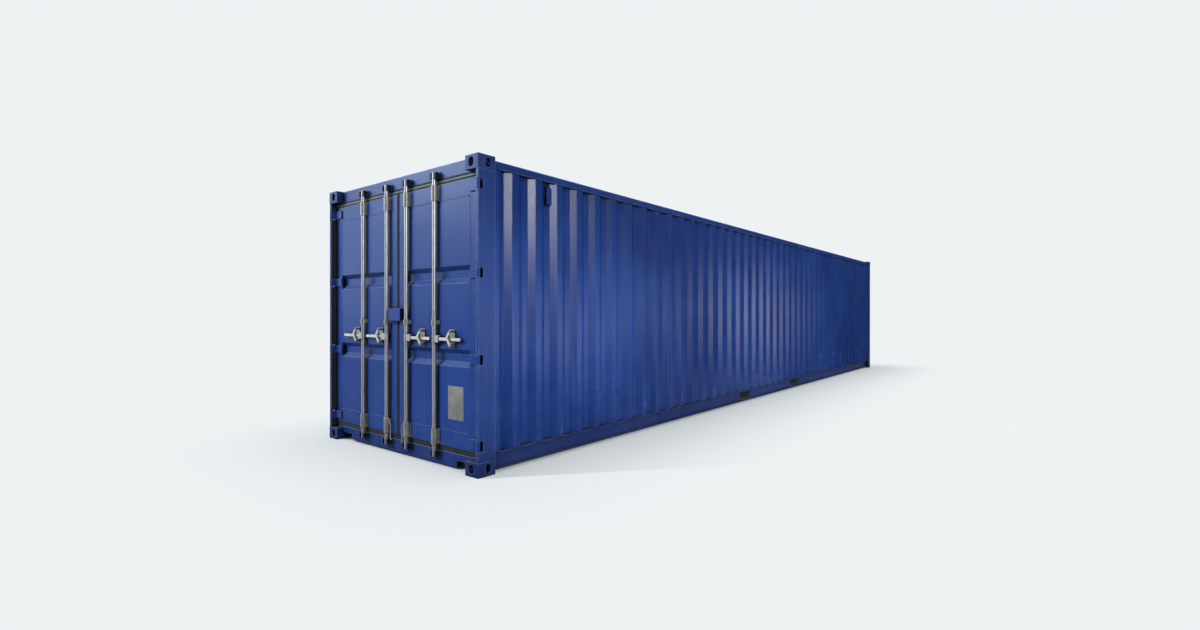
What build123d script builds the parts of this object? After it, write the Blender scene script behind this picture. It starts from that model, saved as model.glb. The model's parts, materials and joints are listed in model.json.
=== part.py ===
from build123d import *
import math
import os

# A 40 foot general purpose shipping container, 8 feet 6 inches high, in millimetres.
# X runs across, Y from the door end to the closed end, Z up. The origin is under the middle.
# An inset is a distance behind the plane of the door end.

# Overall size
length = 12192
width = 2438
height = 2591

# Corner fittings
fitting_long = 178
fitting_wide = 162
fitting_high = 118
fitting_plate = 28
fitting_side_wall = 22
fitting_end_wall = 29
fitting_back_wall = 10
fitting_inner_wall = 20
fitting_edge = 6
slot_long = 124
slot_wide = 63.5
slot_from_end = 103.5
slot_from_side = 89.5
fitting_hole_high = 79.5
end_hole_wide = 63.5
end_hole_from_side = 90
side_hole_wide = 51
side_hole_from_end = 103

# Corner posts
post_step_in = 2
post_wall = 6
nose_thick = 30
nose_front = 4
nose_back = 115
post_box_thick = 47
front_post_side = 40
front_post_end = 46
front_post_reach = 112

# Rails along the roof and the base
top_rail_size = 60
top_rail_wall = 4
top_rail_drop = 31
crest_step_in = 10
base_clear = 30
bottom_rail_high = 142
bottom_rail_deep = 49
bottom_rail_web = 4.5

# Corrugated side walls
wall_sheet = 2
wall_depth = 36
wall_slope = 68
wall_end_flat = 50
wall_end_floor = 10
wall_floor = 69.4
wall_trough_count = 43

# Corrugated closed end
front_depth = 40
front_slope = 18
front_end_flat = 40
front_end_floor = 99
front_floor = 104
front_trough_count = 9
front_set_back = 8
front_rail_deep = 60
front_header_high = 87

# Roof
roof_sheet = 2
roof_rise = 20
roof_slope = 13.5
roof_land = 91
roof_end_flat = 60
roof_rib_count = 56
roof_margin = 100

# Floor and what carries it
floor_thick = 28
floor_top = 182
floor_side_gap = 4
board_row_count = 5
board_gap = 1
member_high = 122
member_flange = 45
member_wall = 4
member_pitch = 305
member_end_gap = 120
pocket_wide = 360
pocket_high = 115
pocket_centre = 1025
pocket_plate = 4
pocket_strap_wide = 200
tunnel_long = 3315
tunnel_wide = 1029
tunnel_plate = 5

# Door opening
frame_face = 62
frame_plate = 6
header_high = 112
sill_low = 16
sill_high = 136
sill_shelf = 50
sill_depth = 108
sill_foot = 70
sill_cut_from = 862
sill_cut_top = 76

# Door leaves
leaf_face = 58
leaf_thick = 50
leaf_wall = 4
leaf_centre_gap = 22
leaf_post_gap = 14
leaf_sill_gap = 47
leaf_header_gap = 47
inner_stile = 85
outer_stile = 124
bottom_rail = 138
top_rail = 144
door_panel_sheet = 3
swage_depth = 32
swage_floor = 64
swage_slope = 42
seal_face = 62
seal_deep = 38
seal_gap = 1
seal_bevel = 5

# Hinges
low_hinge_up = 66
top_hinge_down = 76
middle_hinges_down = 9
pin_radius = 8
pin_inset = 14
pin_from_side = 14
knuckle_radius = 14
knuckle_high = 80
lug_thick = 14
knuckle_gap = 2
pin_clearance = 0.3
slot_back = 52
slot_backing = 6
blade_thick = 12
blade_straight = 22
blade_rise = 24
blade_lean = 8
blade_long = 150

# Lock bars, their guides and cams
inner_bar = 164
outer_bar = 591
bar_inset = 32
bar_radius = 17
bar_bore = 14
bar_sill_up = 62
bar_header_down = 55
cam_high = 56
cam_reach = 27
cam_half = 7
keeper_thick = 9
keeper_gap = 6
keeper_lip_inset = 12
keeper_lip_gap = 2
keeper_foot = 20
guide_gap = 2
guide_thick = 6
guide_flange = 20
low_guide_up = 2
low_guide_long = 135
middle_guide_up = 121
middle_guide_long = 40
top_guide_down = 8
top_guide_long = 131
collar_radius = 20
collar_high = 12
collar_gap = 2

# Handles, catches and hasps
handle_height = 1095
handle_thick = 12
handle_high = 26
handle_reach = 364
handle_pin_out = 52
handle_pin_radius = 6
hub_high = 64
ear_thick = 6
ear_gap = 0.5
ear_reach = 72
ear_high = 60
right_catch_out = 227
left_catch_out = 129
catch_plate = 6
catch_half = 36
catch_down = 65
catch_up = 85
cradle_half = 20
cradle_thick = 6
cradle_rest = 0.5
cradle_lip = 4
cradle_lip_high = 8
cradle_front_gap = 5
hasp_thick = 5
hasp_wide = 22
hasp_side = 21
hasp_elbow = 23
hasp_top_up = 68
hasp_elbow_up = 13
hasp_foot_down = 50
hasp_lip_gap = 5
hasp_gap = 1
hasp_head = 3
hasp_head_radius = 10
seal_hole_radius = 5

# Lock box, hold-back rings and data plate
box_left = -98
box_right = 93
box_up = 153
box_tall = 111
box_front = 10
box_wall = 4
box_clear = 5
staple_left = -72
staple_right = -40
staple_up = 30
staple_tall = 46
staple_out = 26
ring_rod = 3.5
ring_clearance = 1
tail_out = 44
tail_drop = 60
tail_long = 185
tail_hook = 14
tail_bend = 12
plate_wide = 193
plate_tall = 259
plate_thick = 2
plate_from_stile = 94
plate_up = 104

# Ventilators
vent_skip_count = 2
vent_half = 32
vent_down = 42
vent_tall = 160
vent_out = 30
vent_wall = 3
vent_rain_edge = 10

# Places worked out from the sizes above
door_y = -length / 2
closed_y = length / 2
side_x = width / 2
post_x = side_x - post_step_in
crest_x = side_x - crest_step_in
nose_x = post_x - nose_thick
fitting_x = side_x - fitting_wide
top_fitting_z = height - fitting_high
rail_run = length - 2 * fitting_long
rail_start = door_y + fitting_long
rail_end = closed_y - fitting_long
bottom_rail_top = base_clear + bottom_rail_high
web_x = crest_x - bottom_rail_deep
top_rail_top = height - top_rail_drop
top_rail_low = top_rail_top - top_rail_size
floor_low = floor_top - floor_thick
member_low = floor_low - member_high
leaf_outer = nose_x - leaf_post_gap
leaf_front_y = door_y + leaf_face
pin_x = side_x - pin_from_side
pin_y = door_y + pin_inset
bar_y = door_y + bar_inset
cradle_lip_y = bar_y - handle_thick / 2 - cradle_front_gap - cradle_lip
hasp_front_y = cradle_lip_y - hasp_lip_gap - hasp_thick
header_top = top_fitting_z + header_high
roof_low = top_rail_top
leaf_bottom = sill_high + leaf_sill_gap
leaf_top = top_fitting_z - leaf_header_gap
low_hinge = leaf_bottom + low_hinge_up
top_hinge = leaf_top - top_hinge_down
hinge_third = (top_hinge - low_hinge) / 3
hinge_heights = (low_hinge, low_hinge + hinge_third - middle_hinges_down,
                 top_hinge - hinge_third - middle_hinges_down, top_hinge)
bar_places = (inner_bar, outer_bar)
bar_bottom = sill_low + bar_sill_up
bar_top = header_top - bar_header_down
low_guide = (leaf_bottom + low_guide_up, leaf_bottom + low_guide_up + low_guide_long)
middle_guide = (handle_height + middle_guide_up, handle_height + middle_guide_up + middle_guide_long)
top_guide = (leaf_top - top_guide_down - top_guide_long, leaf_top - top_guide_down)
hasp_top_z = handle_height + hasp_top_up
hasp_elbow_z = handle_height + hasp_elbow_up
hasp_foot_z = handle_height - hasp_foot_down
box_low = handle_height + box_up
box_high = box_low + box_tall

nodes = {}


def block(x, y, z):
    """A box from its lower and upper limits along each axis."""
    centre = ((x[0] + x[1]) / 2, (y[0] + y[1]) / 2, (z[0] + z[1]) / 2)
    return Pos(*centre) * Box(x[1] - x[0], y[1] - y[0], z[1] - z[0])


def plan_prism(points, z):
    """A plan outline, given as (x, y) points, raised from z[0] to z[1]."""
    outline = make_face(Polyline(*[(px, py, z[0]) for px, py in points], close=True))
    return extrude(outline, amount=z[1] - z[0], dir=(0, 0, 1))


def cross_prism(points, x):
    """An outline across the width, given as (y, z) points, run from x[0] to x[1]."""
    outline = make_face(Polyline(*[(x[0], py, pz) for py, pz in points], close=True))
    return extrude(outline, amount=x[1] - x[0], dir=(1, 0, 0))


def rod_y(x, z, radius, y):
    """A round bar along Y."""
    circle = Plane(origin=(x, y[0], z), x_dir=(1, 0, 0), z_dir=(0, 1, 0)) * Circle(radius)
    return extrude(circle, amount=y[1] - y[0])


def hex_head(x, z, radius, y):
    """The hexagonal head of a bolt along Y."""
    hexagon = Plane(origin=(x, y[0], z), x_dir=(1, 0, 0), z_dir=(0, 1, 0)) * RegularPolygon(radius, 6)
    return extrude(hexagon, amount=y[1] - y[0])


def rod_z(x, y, radius, z):
    """A round bar along Z."""
    return extrude(Pos(x, y, z[0]) * Circle(radius), amount=z[1] - z[0])


def left(shape):
    """The same piece on the other side of the container."""
    return mirror(shape, about=Plane.YZ)


def far(shape):
    """The same piece at the other end of the container."""
    return mirror(shape, about=Plane.XZ)


def inset(distance):
    """The Y of a place behind the door end."""
    return door_y + distance


def add(name, *shapes):
    """Keep the solids of one named piece."""
    nodes[name] = [solid for shape in shapes for solid in shape.solids()]


def wave(total, end_flat, slope, land, count, step, end_land):
    """Points (place, level) of a sheet pressed into count lands, the flats between them even."""
    lands = [end_land] + [land] * (count - 2) + [end_land]
    between = (total - 2 * end_flat - 2 * slope * count - sum(lands)) / (count - 1)
    points = [(0, 0)]
    place = end_flat
    for size in lands:
        points += [(place, 0), (place + slope, step)]
        points += [(place + slope + size, step), (place + 2 * slope + size, 0)]
        place += 2 * slope + size + between
    return points + [(total, 0)]


def sheet(points, thickness, shift):
    """A sheet's closed section: its face, then the same line moved through the thickness."""
    face = [shift(place, level) for place, level in points]
    back = [shift(place, level + thickness) for place, level in reversed(points)]
    return face + back


# Corner fittings, hollow castings with a slot for twistlocks and holes for hooks
def corner_fitting():
    body = block((-fitting_wide, 0), (0, fitting_long), (0, fitting_high))
    upright = body.edges().filter_by(Axis.Z).sort_by(Axis.X)[-2:].sort_by(Axis.Y)[0]
    body = fillet(upright, fitting_edge)
    body -= block((fitting_inner_wall - fitting_wide, -fitting_side_wall),
                  (fitting_end_wall, fitting_long - fitting_back_wall),
                  (fitting_plate, fitting_high - fitting_plate))
    slot = Rot(0, 0, 90) * SlotOverall(slot_long, slot_wide)
    body -= extrude(Pos(-slot_from_side, slot_from_end, 0) * slot, amount=fitting_plate)
    end_plane = Plane(origin=(-end_hole_from_side, 0, fitting_high / 2),
                      x_dir=(0, 0, 1), z_dir=(0, 1, 0))
    body -= extrude(end_plane * SlotOverall(fitting_hole_high, end_hole_wide), amount=fitting_end_wall)
    side_plane = Plane(origin=(0, side_hole_from_end, fitting_high / 2),
                       x_dir=(0, 0, 1), z_dir=(-1, 0, 0))
    body -= extrude(side_plane * SlotOverall(fitting_hole_high, side_hole_wide),
                    amount=fitting_side_wall)
    return body


low_fitting = Pos(side_x, door_y, 0) * corner_fitting()
high_fitting = Pos(0, 0, height) * mirror(low_fitting, about=Plane.XY)
add("corner_fittings_bottom", low_fitting, left(low_fitting), far(low_fitting),
    far(left(low_fitting)))
add("corner_fittings_top", high_fitting, left(high_fitting), far(high_fitting),
    far(left(high_fitting)))


# Rear posts, with a slot and a pin for each hinge
def hollow_post(points):
    outline = make_face(Polyline(*[(px, py, fitting_high) for px, py in points], close=True))
    bore = offset(outline, amount=-post_wall, kind=Kind.INTERSECTION)
    return extrude(outline - bore, amount=top_fitting_z - fitting_high, dir=(0, 0, 1))


def rear_post():
    box_x = post_x - post_box_thick
    post = hollow_post([(nose_x, inset(nose_front)), (post_x, inset(nose_front)),
                        (post_x, inset(fitting_long)), (box_x, inset(fitting_long)),
                        (box_x, inset(nose_back)), (nose_x, inset(nose_back))])
    half = knuckle_high / 2 + knuckle_gap
    for z in hinge_heights:
        lug = block((nose_x, post_x), (inset(nose_front), inset(slot_back + slot_backing)),
                    (z - half - lug_thick, z + half + lug_thick))
        gap = block((nose_x, post_x), (inset(nose_front), inset(slot_back)), (z - half, z + half))
        pin = rod_z(pin_x, pin_y, pin_radius, (z - half - lug_thick, z + half + lug_thick))
        post = post + lug - gap + pin
    return post


add("rear_post_right", rear_post())
add("rear_post_left", left(rear_post()))


# Posts of the closed end
def front_post():
    end_y = closed_y - nose_front
    back_y = closed_y - fitting_long
    step_y = end_y - front_post_end
    side_in = post_x - front_post_side
    end_in = post_x - front_post_reach
    return hollow_post([(post_x, end_y), (post_x, back_y), (side_in, back_y), (side_in, step_y),
                        (end_in, step_y), (end_in, end_y)])


add("front_posts", front_post(), left(front_post()))


# Header and sill of the door opening
def door_header():
    outer = block((-fitting_x, fitting_x), (inset(frame_face), inset(fitting_long)),
                  (top_fitting_z, header_top))
    return outer - block((-fitting_x, fitting_x),
                         (inset(frame_face + frame_plate), inset(fitting_long - frame_plate)),
                         (top_fitting_z + frame_plate, header_top - frame_plate))


def door_sill():
    face, back = inset(frame_face), inset(frame_face + sill_depth)
    shelf, foot = inset(frame_face + sill_shelf), inset(frame_face + sill_foot)
    section = [(face, sill_low), (face, sill_high), (shelf, sill_high), (shelf, floor_top),
               (back, floor_top), (back, floor_top - frame_plate),
               (shelf + frame_plate, floor_top - frame_plate),
               (shelf + frame_plate, sill_high - frame_plate),
               (face + frame_plate, sill_high - frame_plate),
               (face + frame_plate, sill_low + frame_plate),
               (foot, sill_low + frame_plate), (foot, sill_low)]
    sill = cross_prism(section, (-nose_x, nose_x))
    for side in (-1, 1):
        fitting = sorted((side * fitting_x, side * side_x))
        sill -= block(fitting, (inset(0), inset(fitting_long)), (0, fitting_high))
        beside_post = sorted((side * (post_x - post_box_thick), side * side_x))
        sill -= block(beside_post, (inset(nose_back), inset(fitting_long)), (0, height))
        cut = sorted((side * sill_cut_from, side * fitting_x))
        sill -= block(cut, (inset(0), inset(fitting_long)), (0, sill_cut_top))
    return sill


add("door_header", door_header())
add("door_sill", door_sill())


# Header and sill of the closed end
def front_header():
    face = closed_y - front_set_back
    top = top_fitting_z + front_header_high
    tube = block((-fitting_x, fitting_x), (face - front_rail_deep, face), (top_fitting_z, top))
    tube -= block((-fitting_x, fitting_x),
                  (face - front_rail_deep + frame_plate, face - frame_plate),
                  (top_fitting_z + frame_plate, top - frame_plate))
    lid = block((-fitting_x, fitting_x), (rail_end, face - front_rail_deep),
                (top - frame_plate, top))
    return tube + lid


def front_sill():
    face = closed_y - front_set_back
    reach = post_x - front_post_reach
    span = (-reach, reach)
    tube = block(span, (face - front_rail_deep, face), (base_clear, bottom_rail_top))
    tube -= block(span, (face - front_rail_deep + frame_plate, face - frame_plate),
                  (base_clear + frame_plate, bottom_rail_top - frame_plate))
    for side in (-1, 1):
        fitting = sorted((side * fitting_x, side * side_x))
        tube -= block(fitting, (rail_end, closed_y), (0, fitting_high))
    half = tunnel_wide / 2 + tunnel_plate
    return tube - block((-half, half), (face - front_rail_deep, face), (0, floor_low))


add("front_header", front_header())
add("front_sill", front_sill())


# Rails along both sides
def top_side_rail():
    run = (rail_start, rail_end)
    outer = block((crest_x - top_rail_size, crest_x), run, (top_rail_low, top_rail_top))
    bore = block((crest_x - top_rail_size + top_rail_wall, crest_x - top_rail_wall), run,
                 (top_rail_low + top_rail_wall, top_rail_top - top_rail_wall))
    return outer - bore


def bottom_side_rail():
    rail = block((web_x, crest_x), (rail_start, rail_end), (base_clear, bottom_rail_top))
    rail -= block((web_x + bottom_rail_web, crest_x), (rail_start, rail_end),
                  (base_clear + bottom_rail_web, bottom_rail_top - bottom_rail_web))
    pocket_low = floor_low - pocket_plate - pocket_high
    for centre in (-pocket_centre, pocket_centre):
        rail -= block((web_x, web_x + bottom_rail_web),
                      (centre - pocket_wide / 2, centre + pocket_wide / 2),
                      (pocket_low, pocket_low + pocket_high))
    return rail


add("top_rail_right", top_side_rail())
add("top_rail_left", left(top_side_rail()))
add("bottom_rail_right", bottom_side_rail())
add("bottom_rail_left", left(bottom_side_rail()))


# Corrugated walls and roof
wall_line = wave(rail_run, wall_end_flat, wall_slope, wall_floor, wall_trough_count,
                 wall_depth, wall_end_floor)


def side_wall():
    section = sheet(wall_line, wall_sheet, lambda place, level: (crest_x - level, rail_start + place))
    return plan_prism(section, (bottom_rail_top, top_rail_low))


def front_wall():
    reach = post_x - front_post_reach
    points = wave(2 * reach, front_end_flat, front_slope, front_floor, front_trough_count,
                  front_depth, front_end_floor)
    face = closed_y - front_set_back
    section = sheet(points, wall_sheet, lambda place, level: (place - reach, face - level))
    return plan_prism(section, (bottom_rail_top, top_fitting_z))


def roof_panel():
    points = wave(rail_run, roof_end_flat, roof_slope, roof_land, roof_rib_count, roof_rise, roof_land)
    rib_x = crest_x - roof_margin
    section = sheet(points, roof_sheet, lambda place, level: (rail_start + place, roof_low + level))
    field = cross_prism(section, (-rib_x, rib_x))
    top_line = [(rail_start + place, roof_low + roof_sheet + level) for place, level in points]
    end_section = [(rail_start, roof_low)] + top_line + [(rail_end, roof_low)]
    closing = cross_prism(end_section, (rib_x - roof_sheet, rib_x))
    margin = block((rib_x, crest_x), (rail_start, rail_end), (roof_low, roof_low + roof_sheet))
    return field + closing + left(closing) + margin + left(margin)


add("side_wall_right", side_wall())
add("side_wall_left", left(side_wall()))
add("front_wall", front_wall())
add("roof_panel", roof_panel())


# Floor, cross members, fork pockets and the tunnel under the closed end
def floor_boards():
    start = inset(frame_face + sill_depth)
    end = closed_y - front_set_back - front_rail_deep
    run = (end - start) / board_row_count
    half = web_x - floor_side_gap
    boards = []
    for row in range(board_row_count):
        y = (start + row * run, start + (row + 1) * run - board_gap)
        z = (floor_low, floor_top)
        boards += [block((-half, -board_gap / 2), y, z), block((board_gap / 2, half), y, z)]
    return boards


def channel(x, y):
    z = (member_low, floor_low)
    body = block(x, (y, y + member_flange), z)
    return body - block(x, (y + member_wall, y + member_flange),
                        (member_low + member_wall, floor_low - member_wall))


def cross_members():
    tunnel_start = closed_y - tunnel_long
    side_reach = tunnel_wide / 2 + tunnel_plate
    first = rail_start + member_end_gap
    last = rail_end - member_end_gap
    count = round((last - first) / member_pitch)
    members = []
    for place in range(count + 1):
        y = first + place * (last - first) / count
        clear = pocket_wide / 2 + pocket_plate
        near_pocket = abs(abs(y + member_flange / 2) - pocket_centre) < clear + member_flange / 2
        if near_pocket:
            continue
        if y + member_flange < tunnel_start:
            members.append(channel((-web_x, web_x), y))
        elif y > tunnel_start:
            members += [channel((side_reach, web_x), y), channel((-web_x, -side_reach), y)]
    return members


def fork_pocket(centre):
    half = pocket_wide / 2
    low = floor_low - pocket_plate - pocket_high
    span = (-web_x, web_x)
    outside = (centre - half - pocket_plate, centre + half + pocket_plate)
    pocket = block(span, outside, (low, floor_low))
    pocket -= block(span, (centre - half, centre + half), (low, floor_low - pocket_plate))
    for x in ((-web_x, pocket_strap_wide - web_x), (web_x - pocket_strap_wide, web_x)):
        pocket += block(x, outside, (low - pocket_plate, low))
    return pocket


def gooseneck_tunnel():
    half = tunnel_wide / 2
    under_roof = floor_low - tunnel_plate
    y = (closed_y - tunnel_long, closed_y - front_set_back - front_rail_deep)
    roof = block((-half - tunnel_plate, half + tunnel_plate), y, (under_roof, floor_low))
    side = block((half, half + tunnel_plate), y, (base_clear, under_roof))
    return [roof, side, left(side)]


add("floor_boards", *floor_boards())
add("cross_members", *cross_members())
add("fork_pockets", fork_pocket(-pocket_centre), fork_pocket(pocket_centre))
add("gooseneck_tunnel", *gooseneck_tunnel())


# Ventilators, small boxes in a trough near the top of each side wall
def ventilator():
    trough_x = crest_x - wall_depth
    vent_high = top_rail_low - vent_down
    vent_low = vent_high - vent_tall
    floor_ends = [place for place, level in wall_line if level > 0][2 * vent_skip_count:][:2]
    centre = rail_start + sum(floor_ends) / 2
    front = trough_x + vent_out
    body = block((trough_x, front), (centre - vent_half, centre + vent_half), (vent_low, vent_high))
    rain_edge = body.edges().filter_by(Axis.Y).sort_by(Axis.Z)[-2:].sort_by(Axis.X)[-1]
    body = chamfer(rain_edge, vent_rain_edge)
    hollow = block((trough_x + vent_wall, front - vent_wall),
                   (centre - vent_half + vent_wall, centre + vent_half - vent_wall),
                   (vent_low, vent_high - vent_rain_edge))
    return body - hollow


add("ventilators", ventilator(), far(left(ventilator())))


# Door leaves
def leaf_tube(x):
    y = (inset(leaf_face), inset(leaf_face + leaf_thick))
    outer = block(x, y, (leaf_bottom, leaf_top))
    bore = block((x[0] + leaf_wall, x[1] - leaf_wall), (y[0] + leaf_wall, y[1] - leaf_wall),
                 (leaf_bottom, leaf_top))
    return outer - bore


def leaf_channel(x, z):
    y = (inset(leaf_face), inset(leaf_face + leaf_thick))
    outer = block(x, y, z)
    return outer - block(x, (y[0] + leaf_wall, y[1]), (z[0] + leaf_wall, z[1] - leaf_wall))


panel_left = leaf_centre_gap + inner_stile
panel_right = leaf_outer - outer_stile
panel_low = leaf_bottom + bottom_rail
panel_high = leaf_top - top_rail


def door_frame():
    stiles = leaf_tube((leaf_centre_gap, panel_left)) + leaf_tube((panel_right, leaf_outer))
    across = (panel_left, panel_right)
    low_rail = leaf_channel(across, (leaf_bottom, panel_low))
    high_rail = leaf_channel(across, (panel_high, leaf_top))
    return stiles + low_rail + high_rail


def door_panel():
    front = inset(leaf_face)
    line = [(front, panel_low)]
    for z in hinge_heights[1:-1]:
        half = swage_floor / 2
        line += [(front, z - half - swage_slope), (front + swage_depth, z - half)]
        line += [(front + swage_depth, z + half), (front, z + half + swage_slope)]
    line.append((front, panel_high))
    back = [(y + door_panel_sheet, z) for y, z in reversed(line)]
    return cross_prism(line + back, (panel_left, panel_right))


def door_gasket():
    front, back = inset(seal_face), inset(seal_face + seal_deep)
    centre = seal_gap
    outer = nose_x - seal_gap
    plan = [(centre, front), (outer, front), (outer, back), (centre + seal_bevel, back)]
    ring = plan_prism(plan, (sill_high + seal_gap, top_fitting_z - seal_gap))
    leaf = block((leaf_centre_gap, leaf_outer), (front, back), (leaf_bottom, leaf_top))
    return ring - leaf


def hinge_blade(z):
    lift = leaf_face - pin_inset
    half = blade_thick / 2
    slope_run = blade_straight + blade_rise
    plan = [(0, -half), (blade_straight, -half), (slope_run, lift - blade_thick),
            (blade_long, lift - blade_thick), (blade_long, lift),
            (slope_run - blade_lean, lift), (blade_straight - blade_lean, half), (0, half)]
    span = (z - knuckle_high / 2, z + knuckle_high / 2)
    arm = plan_prism([(pin_x - e, pin_y + d) for e, d in plan], span)
    knuckle = rod_z(pin_x, pin_y, knuckle_radius, span)
    return arm + knuckle - rod_z(pin_x, pin_y, pin_radius + pin_clearance, span)


def bar_guide(x, span):
    inner = bar_radius + guide_gap
    outer = inner + guide_thick
    saddle = Pos(x, bar_y, span[0]) * Circle(outer)
    hollow = Pos(x, bar_y, span[0]) * Circle(inner)
    shape = extrude(saddle, amount=span[1] - span[0])
    shape += block((x - outer, x + outer), (bar_y, leaf_front_y), span)
    shape += block((x - outer - guide_flange, x + outer + guide_flange),
                   (leaf_front_y - guide_thick, leaf_front_y), span)
    shape -= extrude(hollow, amount=span[1] - span[0])
    return shape - block((x - inner, x + inner), (bar_y, leaf_front_y), span)


def catch(x):
    """A handle catch: back plate, cradle with a lip, hasp bolt and seal lug."""
    back = leaf_front_y
    plate_y = back - catch_plate
    shelf_top = handle_height - handle_high / 2 - cradle_rest
    body = block((x - catch_half, x + catch_half), (plate_y, back),
                 (handle_height - catch_down, handle_height + catch_up))
    body += block((x - cradle_half, x + cradle_half), (cradle_lip_y, plate_y),
                  (shelf_top - cradle_thick, shelf_top))
    body += block((x - cradle_half, x + cradle_half), (cradle_lip_y, cradle_lip_y + cradle_lip),
                  (shelf_top, shelf_top + cradle_lip_high))
    hasp_back = hasp_front_y + hasp_thick
    pivot = x + hasp_side
    body += rod_y(pivot, hasp_top_z, hasp_head_radius, (hasp_back + hasp_gap, plate_y))
    body += rod_y(pivot, hasp_top_z, handle_pin_radius, (hasp_front_y - hasp_gap, hasp_back + hasp_gap))
    body += hex_head(pivot, hasp_top_z, hasp_head_radius,
                     (hasp_front_y - hasp_gap - hasp_head, hasp_front_y - hasp_gap))
    lug = block((pivot - hasp_wide / 2, pivot + hasp_wide / 2), (hasp_back + hasp_gap, plate_y),
                (hasp_foot_z - hasp_wide / 2, hasp_foot_z + hasp_wide / 2))
    lug -= rod_y(pivot, hasp_foot_z, seal_hole_radius, (hasp_back + hasp_gap, plate_y))
    return body + lug


def strap(start, end, y):
    """A flat strap with round ends between two (x, z) points."""
    run = math.dist(start, end)
    angle = math.degrees(math.atan2(end[1] - start[1], end[0] - start[0]))
    middle = ((start[0] + end[0]) / 2, y, (start[1] + end[1]) / 2)
    plane = Plane(origin=middle, x_dir=(1, 0, 0), z_dir=(0, -1, 0))
    flat = plane * Rot(0, 0, angle) * SlotCenterToCenter(run, hasp_wide)
    return extrude(flat, amount=-hasp_thick)


def hasp(x):
    top = (x + hasp_side, hasp_top_z)
    elbow = (x - hasp_elbow, hasp_elbow_z)
    foot = (x + hasp_side, hasp_foot_z)
    body = strap(top, elbow, hasp_front_y) + strap(elbow, foot, hasp_front_y)
    through = (hasp_front_y, hasp_front_y + hasp_thick)
    body -= rod_y(top[0], top[1], handle_pin_radius + pin_clearance, through)
    return body - rod_y(foot[0], foot[1], seal_hole_radius, through)


def lock_bar(x):
    """A lock bar of the right door: tube, end cams, collars and the clevis of its handle."""
    bar = rod_z(x, bar_y, bar_radius, (bar_bottom, bar_top))
    for low in (bar_bottom, bar_top - cam_high):
        bar += block((x - cam_reach + cam_half, x), (bar_y - cam_half, bar_y + cam_half),
                     (low, low + cam_high))
        bar += rod_z(x - cam_reach + cam_half, bar_y, cam_half, (low, low + cam_high))
    guide_low, guide_high = middle_guide
    for low in (guide_low - collar_gap - collar_high, guide_high + collar_gap):
        bar += rod_z(x, bar_y, collar_radius, (low, low + collar_high))
    hub = (handle_height - hub_high / 2, handle_height + hub_high / 2)
    bar += rod_z(x, bar_y, collar_radius, hub)
    ear_in = handle_thick / 2 + ear_gap
    ear_span = (handle_height - ear_high / 2, handle_height + ear_high / 2)
    for front in (bar_y - ear_in - ear_thick, bar_y + ear_in):
        bar += block((x, x + ear_reach), (front, front + ear_thick), ear_span)
    bar -= rod_z(x, bar_y, bar_bore, (bar_bottom, bar_top))
    return bar + rod_y(x + handle_pin_out, handle_height, handle_pin_radius,
                       (bar_y - ear_in - ear_thick, bar_y + ear_in + ear_thick))


def handle(x):
    """A handle of the right door, a flat bar with round ends on the clevis pin."""
    pin = x + handle_pin_out
    half = handle_high / 2
    tip = x + handle_reach - half
    y = (bar_y - handle_thick / 2, bar_y + handle_thick / 2)
    body = block((pin, tip), y, (handle_height - half, handle_height + half))
    body += rod_y(pin, handle_height, half, y) + rod_y(tip, handle_height, half, y)
    return body - rod_y(pin, handle_height, handle_pin_radius + pin_clearance, y)


def keeper(x, low):
    """A cam keeper of the right door: two legs on the frame, a lip before the cam on one."""
    leg_in = cam_reach + keeper_gap
    leg_out = leg_in + keeper_thick
    face = inset(frame_face)
    front = inset(keeper_lip_inset)
    z = (low, low + cam_high)
    body = block((x - leg_out, x - leg_in), (front, face), z)
    body += block((x - leg_in, x - bar_radius - keeper_lip_gap), (front, front + keeper_thick), z)
    body += block((x - leg_out - keeper_foot, x - leg_out), (face - keeper_thick, face), z)
    guard = block((x + leg_in, x + leg_out), (front, face), z)
    guard += block((x + leg_out, x + leg_out + keeper_foot), (face - keeper_thick, face), z)
    return [body, guard]


def tieback(x):
    """A hold-back ring round an inner lock bar, with its hooked tail hanging towards the middle."""
    inner = bar_radius + ring_clearance
    z = low_guide[1] + ring_rod + pin_clearance
    span = (z - ring_rod, z + ring_rod)
    ring = rod_z(x, bar_y, inner + 2 * ring_rod, span) - rod_z(x, bar_y, inner, span)
    start = x - inner - ring_rod
    tail_x = x - bar_radius - guide_gap - guide_thick - tail_out
    tail_end = z - tail_long
    path = Polyline((start, bar_y, z), (start - tail_bend, bar_y, z),
                    (tail_x, bar_y, z - tail_drop), (tail_x, bar_y, tail_end),
                    (tail_x - tail_hook, bar_y, tail_end - tail_hook))
    profile = Plane(origin=(start, bar_y, z), z_dir=(-1, 0, 0)) * RegularPolygon(ring_rod, 6)
    return ring + sweep(profile, path=path, transition=Transition.RIGHT)


def lock_box():
    """A steel shroud on the right door that hides the staple of the left one."""
    back = leaf_front_y
    outer = block((box_left, box_right), (inset(box_front), back), (box_low, box_high))
    hollow = block((box_left + box_wall, box_right - box_wall), (inset(box_front + box_wall), back),
                   (box_low, box_high - box_wall))
    room = block((box_left, leaf_centre_gap), (back - box_clear, back), (box_low, box_high))
    return outer - hollow - room


def lock_staple():
    """The staple of the left door, two plates with a hole for a padlock."""
    z = (box_low + staple_up, box_low + staple_up + staple_tall)
    body = block((staple_left, staple_right), (leaf_front_y - catch_plate, leaf_front_y), z)
    for x in (staple_left, staple_right - catch_plate):
        body += block((x, x + catch_plate), (leaf_front_y - staple_out, leaf_front_y), z)
    hole_y = leaf_front_y - (staple_out + catch_plate) / 2
    hole = Plane(origin=(staple_left, hole_y, sum(z) / 2), z_dir=(1, 0, 0)) * Circle(seal_hole_radius)
    return body - extrude(hole, amount=staple_right - staple_left)


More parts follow.
